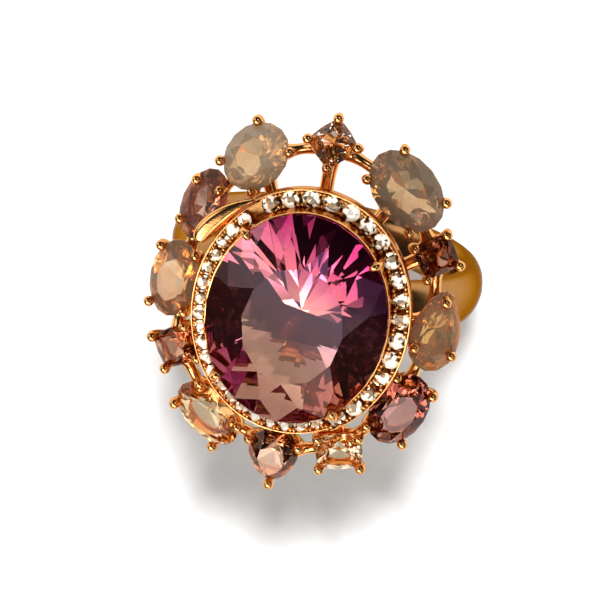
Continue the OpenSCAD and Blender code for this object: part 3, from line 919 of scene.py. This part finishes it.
class RING_OT_pave(bpy.types.Operator):
    """The pave: a faceted round brilliant in place of each small stone"""

    bl_idname = "ring.pave"
    bl_label = "Pave"

    def execute(self, context):
        gems = context.scene.ring_gems
        material = pave_material("pave_champagne", gems.pave_ior)
        for name in ("crescent_pave", "inner_pave"):
            stones = islands(name)
            centres = np.array([[*((p.min(0) + p.max(0)) / 2)[:2], 0] for p in stones])
            radii = np.array([np.ptp(p[:, 0]) / 2 for p in stones])
            centres[:, 2] = [p[:, 2].max() - GIRDLE_DROP * r for p, r in zip(stones, radii)]
            outs = unit(np.stack([centres[:, 0], centres[:, 1], 0 * radii], axis=-1))
            shells = brilliants(centres, outs, radii, crown=0.3, table=0.55, depth=0.78)
            make_piece(f"{name}_brilliants", shells, material, name, flat=True)
        return {"FINISHED"}


# Each side stone: the two colours it drifts between, its cloudiness, and the strength of its veils
SIDE_TINTS = {
    "morganite_peach": ([(0.84, 0.68, 0.60), (1.00, 0.95, 0.90)], 0.0, 0.0),
    "lemon_quartz": ([(0.69, 0.51, 0.33), (0.79, 0.64, 0.46)], 0.15, 0.25),
    "smoky_brown": ([(0.55, 0.37, 0.31), (0.74, 0.58, 0.51)], 0.0, 0.0),
    "honey_quartz": ([(0.76, 0.53, 0.28), (0.84, 0.65, 0.38)], 0.15, 0.6),
    "rose_tourmaline": ([(0.62, 0.39, 0.35), (0.73, 0.56, 0.52)], 0.0, 0.0),
    "champagne": ([(0.95, 0.84, 0.68), (0.99, 0.95, 0.86)], 0.0, 0.0),
    "peach_brown": ([(0.75, 0.54, 0.41), (0.84, 0.69, 0.59)], 0.0, 0.0),
    "amber_champagne": ([(0.87, 0.66, 0.42), (0.95, 0.90, 0.78)], 0.0, 0.0),
    "rose_brown": ([(0.67, 0.45, 0.34), (0.83, 0.66, 0.54)], 0.0, 0.0),
    "beige_quartz": ([(0.77, 0.51, 0.28), (0.84, 0.69, 0.49)], 0.12, 0.3),
    "cinnamon_rose": ([(0.65, 0.48, 0.40), (0.86, 0.70, 0.62)], 0.05, 0.5),
    "milky_beige": ([(0.74, 0.54, 0.33), (0.82, 0.67, 0.49)], 0.28, 0.25),
}


class RING_OT_gems(bpy.types.Operator):
    """The centre gem's zoned colour and the twelve side stones' own tints, on the frame's facets"""

    bl_idname = "ring.gems"
    bl_label = "Centre and side gems"

    def execute(self, context):
        gems = context.scene.ring_gems
        paint(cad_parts["centre_stone"], zoned_material("centre_bicolour", gems))
        for k, (name, (colours, cloud, veils)) in enumerate(SIDE_TINTS.items(), 1):
            material = gem_material(name, colours, gems.side_ior, cloud, veils)
            paint(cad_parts[f"side_stone_{k}"], material)
        return {"FINISHED"}


def paint(obj, material):
    """A CAD node's material slots filled with this material."""
    for slot in obj.material_slots:
        slot.material = material


# Bright cards round the ring: the direction of each, the cosines at which its edge starts and its full
# light begins, and its strength
CARDS = [
    ((-0.30, -0.50, 0.81), 0.90, 0.95, 2.5),
    ((0.80, -0.05, 0.60), 0.96, 0.985, 1.0),
    ((-0.85, 0.25, 0.45), 0.93, 0.97, 1.6),
    ((0.35, -0.80, 0.48), 0.93, 0.98, 2.4),
    ((0.25, 0.55, 0.80), 0.985, 0.995, 3.0),
    ((-0.12, -0.60, 0.79), 0.984, 0.990, 8.0),
    ((-0.45, -0.25, 0.86), 0.990, 0.995, 8.0),
    ((0.30, -0.42, 0.86), 0.992, 0.996, 7.0),
]
KEY_DIRECTION = (0.04, 0.5, 0.86)


def lay_floor(studio):
    """A square matt floor under the ring, nearly white, with a faint grain."""
    low, _ = CAD_BOX
    side = studio.floor_side / 2
    mesh = bpy.data.meshes.new("floor")
    corners = [(-side, -side, low.z), (side, -side, low.z), (side, side, low.z), (-side, side, low.z)]
    mesh.from_pydata(corners, [], [(0, 1, 2, 3)])
    material, tree, out, coords = new_material("pale_floor")
    grain = colour_ramp(tree, spotted(tree, coords, 900.0), [(0.3, (0.88,) * 3), (0.7, (0.92,) * 3)])
    shader = add_node(tree, "ShaderNodeBsdfPrincipled", {"Base Color": grain, "Roughness": 0.7,
                      "Specular IOR Level": 0.1})
    tree.links.new(shader.outputs["BSDF"], out.inputs["Surface"])
    mesh.materials.append(material)
    placed("floor", mesh)


def light_surround(studio):
    """The world: the cards' glow added up, less of it for matt surfaces, and plain white for the camera."""
    world = bpy.data.worlds.new("studio")
    bpy.context.scene.world = world
    world.use_nodes = True
    tree = world.node_tree
    tree.nodes.clear()
    out = add_node(tree, "ShaderNodeOutputWorld")
    direction = add_node(tree, "ShaderNodeTexCoord").outputs["Generated"]
    glow = None
    for aim, start, stop, power in CARDS:
        dot = add_node(tree, "ShaderNodeVectorMath", {0: direction, 1: tuple(unit(aim))},
                       operation="DOT_PRODUCT").outputs["Value"]
        soft = remapped(tree, dot, start, stop, 0.0, power, interpolation_type="SMOOTHSTEP")
        glow = soft if glow is None else combined(tree, "ADD", glow, soft)
    ray = add_node(tree, "ShaderNodeLightPath").outputs
    share = remapped(tree, ray["Is Diffuse Ray"], 0.0, 1.0, 1.0, studio.fill)
    power = combined(tree, "MULTIPLY", combined(tree, "ADD", glow, studio.ambient), share)
    light = add_node(tree, "ShaderNodeBackground", {"Color": (1.0, 0.985, 0.96, 1), "Strength": power})
    seen = add_node(tree, "ShaderNodeBackground", {"Color": (1, 1, 1, 1), "Strength": 1.0})
    tree.links.new(blended(tree, ray["Is Camera Ray"], light, seen).outputs[0], out.inputs["Surface"])


def hang_key(studio):
    """The key light: a disk that faces the ring, not mirrored by metal or seen through glass."""
    lamp = bpy.data.lights.new("key", "AREA")
    lamp.shape, lamp.size, lamp.energy = "DISK", studio.key_width, studio.key
    key = placed("key", lamp)
    key.location = unit(KEY_DIRECTION) * studio.key_away
    key.rotation_mode = "QUATERNION"
    key.rotation_quaternion = key.location.to_track_quat("Z", "Y")
    key.visible_glossy = key.visible_transmission = False


def place_camera(studio):
    """The camera: leaned from the vertical, turned about its own axis, and aimed a little below the centre
    gem's top."""
    view = unit([*np.tan(np.radians([studio.tilt_side, studio.tilt_along])), 1.0])
    up = unit(np.array([0, 1, 0]) - view * view[1])
    right = np.cross(up, view)
    c, s = math.cos(math.radians(studio.roll)), math.sin(math.radians(studio.roll))
    up, right = c * up - s * right, c * right + s * up
    aim = np.array([0, 0, STONE_TOP - studio.crown * MM])
    place = aim + MM * (studio.distance * view + studio.aim_right * right + studio.aim_up * up)
    cam = placed("camera", bpy.data.cameras.new("camera"))
    cam.data.sensor_width, cam.data.lens = 36.0, studio.lens
    cam.data.clip_start, cam.data.clip_end = 0.01, 20.0
    matrix = np.eye(4)
    matrix[:3, 0], matrix[:3, 1], matrix[:3, 2], matrix[:3, 3] = right, up, view, place
    cam.matrix_world = Matrix(matrix.tolist())
    bpy.context.scene.camera = cam


class RING_OT_studio(bpy.types.Operator):
    """The studio: a pale floor, a dim surround with bright cards, a key light and the camera"""

    bl_idname = "ring.studio"
    bl_label = "Studio"

    def execute(self, context):
        studio = context.scene.ring_studio
        lay_floor(studio)
        light_surround(studio)
        hang_key(studio)
        place_camera(studio)
        context.scene.view_settings.view_transform = "Standard"
        cycles = context.scene.cycles
        cycles.max_bounces = 24
        cycles.transmission_bounces = 20
        cycles.glossy_bounces = 8
        cycles.use_denoising = True
        return {"FINISHED"}


OPERATORS = (RING_OT_band, RING_OT_gallery, RING_OT_baskets, RING_OT_arms, RING_OT_collet, RING_OT_halo,
             RING_OT_pave, RING_OT_gems, RING_OT_studio)


class RING_PT_panel(bpy.types.Panel):
    """The sidebar list of the ring's pieces and settings"""

    bl_idname = "RING_PT_panel"
    bl_label = "Cocktail ring"
    bl_space_type = "VIEW_3D"
    bl_region_type = "UI"
    bl_category = "Ring"

    def draw(self, context):
        for operator in OPERATORS:
            self.layout.operator(operator.bl_idname)
        for name, group in GROUPS.items():
            box = self.layout.box()
            for key in group.__annotations__:
                box.prop(getattr(context.scene, name), key)


CLASSES = (*GROUPS.values(), *OPERATORS, RING_PT_panel)


def register():
    """Adds the classes, and one group of settings to the scene for each entry of GROUPS."""
    for cls in CLASSES:
        bpy.utils.register_class(cls)
    for name, group in GROUPS.items():
        setattr(bpy.types.Scene, name, PointerProperty(type=group))


def unregister():
    """Takes away what register added, in reverse order."""
    for name in GROUPS:
        delattr(bpy.types.Scene, name)
    for cls in reversed(CLASSES):
        bpy.utils.unregister_class(cls)


def main():
    """Builds every piece in order."""
    register()
    for operator in OPERATORS:
        group, name = operator.bl_idname.split(".")
        getattr(getattr(bpy.ops, group), name)()


if __name__ == "__main__":
    main()
